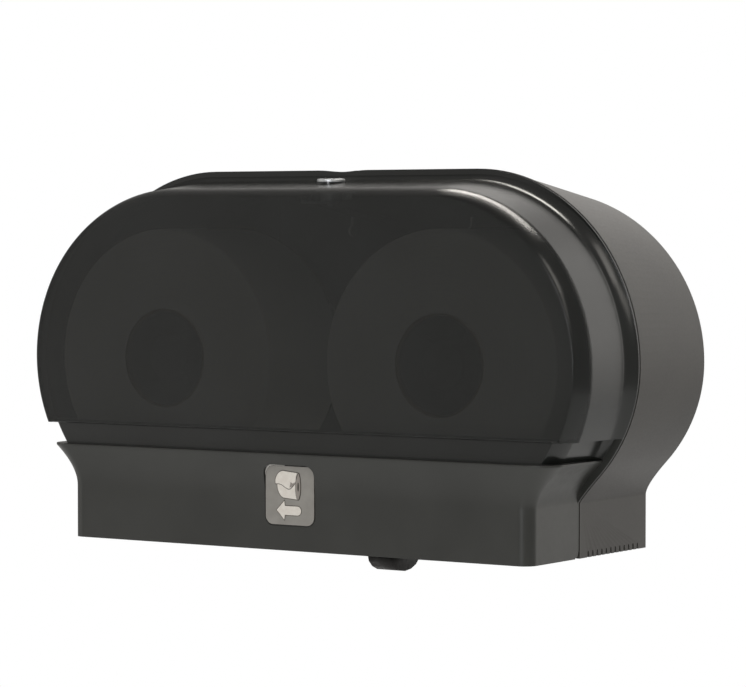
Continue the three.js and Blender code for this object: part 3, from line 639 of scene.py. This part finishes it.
def base_form(name, inset, back, bottom, top):
    """The flared base: straight at its foot, spreading in a hollow curve to a thin lip."""
    foot = FLOOR_Z + NECK_RISE
    rise = LIP_Z - LIP_THICK - foot
    rings = [base_plan(bottom, 0, inset, back)]
    spread = 0
    for i in range(CURVE_STEPS + 1):
        t = i / CURVE_STEPS
        z = foot + rise * (2 * t * (1 - t) * KNEE_SHARE + t * t)
        if z >= top:
            break
        spread = t * t
        rings.append(base_plan(z, spread, inset, back))
    rings.append(base_plan(top, spread, inset, back))
    return skin(name, rings)


def drum(axis, radius, ends, a, b, steps=48):
    """A round body along an axis between two places, through (a, b) on the other two axes."""
    rings = []
    for end in ends:
        ring = []
        for i in range(steps):
            angle = math.tau * i / steps
            u, v = a + radius * math.cos(angle), b + radius * math.sin(angle)
            ring.append({"x": (end, u, v), "y": (u, end, v), "z": (u, v, end)}[axis])
        rings.append(ring)
    return skin("drum", rings)


def rounded_square(half, corner, z):
    """A square outline with round corners in X and Z, about the middle plane at height z."""
    points = []
    for quarter in range(4):
        for i in range(CURVE_STEPS + 1):
            angle = math.pi / 2 * (quarter + i / CURVE_STEPS)
            out = half - corner
            side_x = out if quarter in (0, 3) else -out
            side_z = out if quarter in (0, 1) else -out
            points.append((side_x + corner * math.cos(angle),
                           z + side_z + corner * math.sin(angle)))
    return points


def eased(y, z, side, radius, reach):
    """What a straight front edge loses when it is rounded, above (1) or below (-1) its body."""
    outside = z + side * OVERRUN
    section = [(y - OVERRUN, outside), (y + radius, outside)]
    for i in range(EASE_STEPS + 1):
        angle = math.pi / 2 * i / EASE_STEPS
        section.append((y + radius * (1 - math.sin(angle)),
                        z - side * radius * (1 - math.cos(angle))))
    section.append((y - OVERRUN, z - side * radius))
    return skin("eased", [[(x, a, b) for a, b in section] for x in (-reach, reach)])


band_y = FRONT_Y + BAND_FRONT
cover = window_form("smoked_cover", 0, FRONT_Y, COVER_BACK_Y, (WINDOW_Z, TOP_Z))
joined(cover, "UNION", [
    window_form("band", BAND_INSET, band_y, COVER_BACK_Y,
                (LIP_Z - LIP_THICK, WINDOW_Z + COVER_WALL)),
    base_form("base", 0, COVER_BACK_Y, FLOOR_Z, LIP_Z),
    skin("flange", [casing(y, RIM) for y in (COVER_BACK_Y - FLANGE, COVER_BACK_Y)]),
])
open_y = PARTING_Y + OVERRUN
inside = window_form("inside", COVER_WALL, FRONT_Y + COVER_WALL, open_y,
                     (WINDOW_Z + COVER_WALL, TOP_Z))
joined(inside, "UNION", [
    window_form("in_band", BAND_INSET + COVER_WALL, band_y + COVER_WALL, open_y,
                (LIP_Z - 2 * COVER_WALL, WINDOW_Z + 2 * COVER_WALL)),
    base_form("in_base", COVER_WALL, open_y, FLOOR_Z - OVERRUN, LIP_Z - COVER_WALL),
])
# Behind the hinge pins the base's foot is cut away, so that it swings clear of the housing
wide = BASE_X + OVERRUN
heel = block((-wide, wide), (PIVOT_Y, PARTING_Y), (FLOOR_Z - OVERRUN, PIVOT_Z))
joined(cover, "DIFFERENCE", [inside, heel])
pad_x = BASE_X - COVER_WALL - PAD_DEPTH
pad_ends = [(s * pad_x, s * (BASE_X - SKIN)) for _, s in SIDES]
pin_ends = [(s * (pad_x - OVERRUN), s * (BASE_X - COVER_WALL / 2)) for _, s in SIDES]
pocket = rounded_square(SIGN_HALF + SIGN_PLAY, SIGN_CORNER + SIGN_PLAY, SIGN_Z)
pocket_depths = (FRONT_Y - LIP_FRONT, FRONT_Y + SIGN_THICK)
joined(cover, "UNION", [
    *[drum("x", KNUCKLE, ends, PIVOT_Y, PIVOT_Z) for ends in pad_ends],
    drum("z", BEZEL + BOSS_RIM, (BEZEL_Z - BOSS_DEPTH, BEZEL_Z), 0, LOCK_Y),
])
joined(cover, "DIFFERENCE", [
    *[drum("x", PIN, ends, PIVOT_Y, PIVOT_Z) for ends in pin_ends],
    drum("z", BEZEL + SEAT, (BEZEL_Z, TOP_Z), 0, LOCK_Y),
    drum("z", BARREL + SEAT, (BEZEL_Z - BOSS_DEPTH - OVERRUN, TOP_Z), 0, LOCK_Y),
    skin("pocket", [[(x, y, z) for x, z in pocket] for y in pocket_depths]),
    rim_dip(),
    eased(FRONT_Y, WINDOW_Z, -1, WINDOW_EASE, BASE_X + LIP_REACH),
    eased(FRONT_Y - LIP_FRONT, LIP_Z, 1, LIP_EASE, BASE_X),
])
fit(cover, "cover", "smoked_polycarbonate", smoked_window, smoked_side, smoked_base, smooth=30,
    stands_for=["front_cover"])
# The base is textured, the window's face and its edge are clearest, and all between is the side
WINDOW_FACE, SIDE_FACE, BASE_FACE = range(3)
for face in cover.data.polygons:
    _, y, z = face.center / MM
    beside = y > FRONT_Y + EDGE_DEPTH - SKIN or z < WINDOW_Z - SKIN
    polished = SIDE_FACE if beside else WINDOW_FACE
    face.material_index = BASE_FACE if z < LIP_Z + SKIN else polished


# Sign: a grey plate let into the base, screen printed with a roll and an arrow that say which way
# the shutter slides. Satin ABS, even and a little warm, with matt ink that stands proud of it.
INK = 0.12
OUTLINE = 0.55


def satin_sign(material):
    return dict(
        Base_Color=mottled(material, 9, "97948e", "a19e98"),
        Roughness=cloudy(material, 3, 0.42, 0.5),
        IOR=1.53,
        Normal=grained(material, 0.7, 0.008, 0.3),
    )


# Screen ink is matt and thick, a little uneven where the mesh of the screen left it
def printed_ink(first, second):
    return lambda material: dict(
        Base_Color=mottled(material, 4, first, second),
        Roughness=cloudy(material, 1.5, 0.5, 0.62),
        Normal=grained(material, 0.6, 0.01),
    )


sign_grey = finish("satin_moulded_sign_grey", satin_sign)
pale_ink = finish("screen_printed_pale_ink", printed_ink("f0e9df", "faf5ec"))
dark_ink = finish("screen_printed_dark_ink", printed_ink("4a463f", "55504a"))
shade_ink = finish("screen_printed_shade_ink", printed_ink("9a938c", "a59e97"))

plate_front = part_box("sign_plate")[0].y / MM
sign = skin("sign_panel", [
    [(x, y, z) for x, z in rounded_square(SIGN_HALF, SIGN_CORNER, SIGN_Z)]
    for y in (plate_front, plate_front + SIGN_THICK)])
fit(sign, "cover", "sign_grey", sign_grey, stands_for=["sign_plate"])


# A sharp corner's tip moves out no further than twice what its sides do
MITRE_LIMIT = 0.5


def grown(outline, by):
    """An outline moved out by a distance along its corners' middle directions."""
    points = [Vector(p) for p in outline]
    area = sum(a.x * b.y - b.x * a.y for a, b in zip(points, points[1:] + points[:1]))
    moved = []
    for i, here in enumerate(points):
        before, after = points[i - 1], points[(i + 1) % len(points)]
        edges = [(here - before).normalized(), (after - here).normalized()]
        normals = [Vector((e.y, -e.x)) * (1 if area > 0 else -1) for e in edges]
        middle = (normals[0] + normals[1]).normalized()
        reach = by / max(MITRE_LIMIT, middle.dot(normals[0]))
        moved.append(here + middle * reach)
    return moved


def printed(name, outline, material, layer):
    """A flat print on the sign, given from the sign's middle, on a number of inks below it."""
    back = plate_front - (layer - 1) * INK
    ring = [(x, SIGN_Z + z) for x, z in outline]
    made = skin(name, [[(x, y, z) for x, z in ring] for y in (back - INK, back)])
    return fit(made, "cover", "sign_grey", material)


def arc(x, z, wide, high, start, end, steps=12):
    """Points on an ellipse about (x, z) between two angles in degrees."""
    turns = [math.radians(start + (end - start) * i / steps) for i in range(steps + 1)]
    return [(x + wide * math.cos(t), z + high * math.sin(t)) for t in turns]


# Each print's outline, in millimetres from the sign's middle
arrow = [(-12.6, -11.9), (-5.2, -19.4), (-4.6, -15.6), *arc(7.6, -12, 3.6, 3.6, -90, 90),
         (-4.6, -8.4), (-5.2, -4.4)]
roll_body = [(8.2, 18.2), (-6.4, 19.6), *arc(-3.4, 8.6, 8.6, 11, 110, 250), (8.2, -2.9)]
roll_end = arc(8.2, 7.6, 2.4, 10.6, -90, 270, 28)[:-1]
roll_hole = arc(8.6, 7.2, 0.8, 3.6, -90, 270, 16)[:-1]
sheet = [(8.2, 18.2), (-6.4, 19.6), *arc(-5.8, 10.6, 8, 9, 100, 175), (-13.6, 9.2), (-10.6, 9.4),
         (-7.4, 8.6), (-4, 6.6), (-1.2, 5.4), (0.6, 5.6), (3, 7.6), (5.2, 10.2), (6.8, 13.4)]
curl = [(0.2, 6.4), (1.2, 10.8), (3.2, 9.8), (5.2, 10.6), (3, 7.4)]
for name, outline in (("arrow", arrow), ("roll_body", roll_body), ("roll_end", roll_end)):
    printed(f"sign_{name}_outline", grown(outline, OUTLINE), dark_ink, 1)
printed("sign_arrow", arrow, pale_ink, 2)
printed("sign_roll_body", roll_body, pale_ink, 2)
printed("sign_roll_end_line", grown(roll_end, OUTLINE / 2), dark_ink, 3)
printed("sign_roll_end", roll_end, shade_ink, 4)
printed("sign_roll_hole", roll_hole, dark_ink, 5)
printed("sign_sheet_line", grown(sheet, OUTLINE), dark_ink, 3)
printed("sign_sheet", sheet, pale_ink, 4)
printed("sign_curl", curl, shade_ink, 5)


# Lock: a zinc casting through the top of the cover, turned, polished and chromed, with a plug that
# a flat key turns. Chrome mirrors the studio, softened by a haze of fine polishing marks.
LOCK_TOP = 146.7
BARREL_LENGTH = 15
# Each eased edge is drawn with one point between its ends, so far in from the sharp corner
BEZEL_EASE = 0.8
BEZEL_MIDDLE = 0.25
MOUTH_REACH = 1.1
MOUTH_DEPTH = 0.7
PLUG = 6
PLUG_EASE = 0.5
PLUG_MIDDLE = 0.15
PLUG_STEPS = 64
KEY_WIDTH = 1.8
KEY_LENGTH = 7
KEY_DEPTH = 6
CAM_SCREW = 2.1
CAM_SCREW_DEPTH = 5


def polished_chrome(material):
    return dict(
        Base_Color=mottled(material, 6, "dcdee0", "eceeef"),
        Metallic=1.0,
        Roughness=cloudy(material, 2, 0.4, 0.5),
        Normal=grained(material, 2.5, 0.002, 0.25),
    )


bright_chrome = finish("polished_chrome_plate", polished_chrome)


def upright(name, profile, steps=96):
    """A closed body turned about the lock's own upright axis from [radius, z] points."""
    made = lathed(name, profile, steps)
    for vertex in made.data.vertices:
        x, y, z = vertex.co
        vertex.co = (x, LOCK_Y * MM + z, y)
    made.data.flip_normals()
    return made


barrel_end = BEZEL_Z - BARREL_LENGTH
bezel = upright("lock_bezel", [
    (PLUG + SEAT, barrel_end), (BARREL, barrel_end),
    (BARREL, BEZEL_Z + SEAT), (BEZEL, BEZEL_Z + SEAT), (BEZEL, LOCK_TOP - BEZEL_EASE),
    (BEZEL - BEZEL_MIDDLE, LOCK_TOP - BEZEL_MIDDLE), (BEZEL - BEZEL_EASE, LOCK_TOP),
    (PLUG + MOUTH_REACH, LOCK_TOP), (PLUG + SEAT, LOCK_TOP - MOUTH_DEPTH)])
fit(bezel, "cover", "chrome", bright_chrome, smooth=25, stands_for=["lock_body"])
plug_top = LOCK_TOP - SEAT
plug_profile = [(PLUG, barrel_end), (PLUG, plug_top - PLUG_EASE),
                (PLUG - PLUG_MIDDLE, plug_top - PLUG_MIDDLE), (PLUG - PLUG_EASE, plug_top)]
plug_turns = [math.tau * i / PLUG_STEPS for i in range(PLUG_STEPS)]
plug = skin("lock_key_plug", [
    [(r * math.cos(t), LOCK_Y + r * math.sin(t), z) for t in plug_turns] for r, z in plug_profile])
half_wide, half_long = KEY_WIDTH / 2, KEY_LENGTH / 2
joined(plug, "DIFFERENCE", [
    block((-half_wide, half_wide), (LOCK_Y - half_long, LOCK_Y + half_long),
          (plug_top - KEY_DEPTH, plug_top + OVERRUN)),
    drum("z", CAM_SCREW, (barrel_end - OVERRUN, barrel_end + CAM_SCREW_DEPTH), 0, LOCK_Y)])
fit(plug, "lock", "chrome", bright_chrome, smooth=25, stands_for=["lock_plug"])


# Steel parts: pressed cam and strike, hex nut, hinge pins and pan-head screws.
# All are zinc plated and passivated, which leaves a soft bluish grey with a faint cloudiness.
def zinc_plate(material):
    return dict(
        Base_Color=mottled(material, 5, "a9adb2", "c3c6c8", detail=4),
        Metallic=1.0,
        Roughness=cloudy(material, 3, 0.26, 0.42),
        Normal=grained(material, 0.8, 0.006, 0.2),
    )


zinc_plated_steel = finish("zinc_plated_steel", zinc_plate)
steel_names = [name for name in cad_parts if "screw" in name or "pin" in name.split("_")]
dress(steel_names + ["strike_plate", "lock_cam", "lock_nut"], zinc_plated_steel)


# Studio: the dispenser hangs high above a plain pale floor, in front of a bright backdrop that
# shines on its flank. A strip light overhead draws the streak along the window's top corner, two
# softboxes at the right draw the thin line inside its edge, and one in front brings up the rolls.
# Sizes and places are in metres.
FLOOR_DROP = 2.8
FLOOR_RADIUS = 12
FLOOR_SIDES = 96


# A matt painted floor, lit evenly, with a tone that drifts too slowly to be noticed
def soft_floor(material):
    return dict(
        Base_Color=mottled(material, 900, "efefed", "f6f6f5"),
        Roughness=0.9,
        Emission_Color=linear("ffffff"),
        Emission_Strength=0.36,
    )


ground = bpy.data.meshes.new("studio_floor")
turns = [math.tau * i / FLOOR_SIDES for i in range(FLOOR_SIDES)]
edge = [(FLOOR_RADIUS * math.cos(t), FLOOR_RADIUS * math.sin(t), -FLOOR_DROP) for t in turns]
ground.from_pydata(edge, [], [range(FLOOR_SIDES)])
ground.materials.append(finish("pale_studio_floor", soft_floor))
floor = bpy.data.objects.new("studio_floor", ground)
bpy.context.scene.collection.objects.link(floor)


# All lamps face the middle of the dispenser
LIT_POINT = (0, -0.1, 0)


def softbox(name, at, along, size, power, colour):
    """A soft rectangular lamp with its length along a direction."""
    lamp = bpy.data.lights.new(name, "AREA")
    lamp.shape = "RECTANGLE"
    lamp.size, lamp.size_y = size
    lamp.energy = power
    lamp.color = linear(colour)[:3]
    back = (Vector(at) - Vector(LIT_POINT)).normalized()
    side = (Vector(along) - back * back.dot(Vector(along))).normalized()
    turned = Matrix((side, back.cross(side), back)).transposed().to_4x4()
    shown = bpy.data.objects.new(name, lamp)
    shown.matrix_world = Matrix.Translation(at) @ turned
    bpy.context.scene.collection.objects.link(shown)


# Where each stands and how it is turned, its size in metres, its power in watts and its colour
softbox("overhead_strip", (-0.02, 0.545, 1.1), (1, -0.177, 0.275), (1.04, 0.2), 7.4, "fffaf2")
softbox("right_softbox", (1.15, -0.42, 1.05), (0, 1, 0), (0.5, 0.5), 2, "fffaf2")
softbox("low_right_softbox", (1.43, -0.74, 0.72), (-0.1, -0.75, -0.6), (0.6, 0.3), 0.9, "fffaf2")
softbox("front_softbox", (0.45, -2.3, 0.45), (0, 0, 1), (1.0, 0.25), 9.5, "fbfcff")

world = bpy.data.worlds.new("studio")
world.use_nodes = True
world.node_tree.nodes.clear()
bpy.context.scene.world = world
direction = add(world, "TexCoord").outputs["Generated"]
split = add(world, "SeparateXYZ", None, Vector=direction)


# The room's light by direction: each part rises or falls smoothly from one share to another
# between two places on an axis. The backdrop is behind, dimmer at the left, low and high up, and
# the room in front is dim, but for a pale wall at the left.
ROOM_PARTS = {
    "behind": ("Y", 0.53, 0.66, 0.0, 1.3),
    "from_left": ("X", -0.8, -0.15, 0.15, 1.0),
    "low_part": ("Z", -0.28, 0.18, 0.55, 1.0),
    "high_part": ("Z", 0.52, 0.7, 1.0, 0.15),
    "in_front": ("Y", 0.1, -0.4, 0.0, 0.5),
    "at_left": ("X", -0.3, -0.9, 0.0, 1.0),
}
ROOM_LIGHT = 0.25
parts = {}
for name, (axis, start, end, low, high) in ROOM_PARTS.items():
    part = add(world, "MapRange", {"interpolation_type": "SMOOTHSTEP"}, Value=split.outputs[axis],
               From_Min=start, From_Max=end, To_Min=low, To_Max=high)
    parts[name] = part.outputs["Result"]
backdrop = parts["behind"]
for name in ("from_left", "low_part", "high_part"):
    dimmed = add(world, "Math", {"operation": "MULTIPLY"}, backdrop, parts[name])
    backdrop = dimmed.outputs["Value"]
wall = add(world, "Math", {"operation": "MULTIPLY"}, parts["at_left"], parts["in_front"])
room = add(world, "Math", {"operation": "ADD"}, wall.outputs["Value"], ROOM_LIGHT)
brighter = add(world, "Math", {"operation": "MAXIMUM"}, backdrop, room.outputs["Value"])
glow = add(world, "Background", None, Color=linear("fffcf8"), Strength=brighter.outputs["Value"])
# The picture's own ground is plain white round the dispenser, and dark where the smoke covers it
light_path = add(world, "LightPath")
uncovered = add(world, "Math", {"operation": "LESS_THAN"},
                light_path.outputs["Transparent Depth"], 0.5)
white = add(world, "Background", None, Color=linear("ffffff"), Strength=uncovered.outputs["Value"])
both = add(world, "MixShader", None, light_path.outputs["Is Camera Ray"],
           glow.outputs["Background"], white.outputs["Background"])
add(world, "OutputWorld", None, Surface=both.outputs["Shader"])
bpy.context.scene.view_settings.view_transform = "Standard"
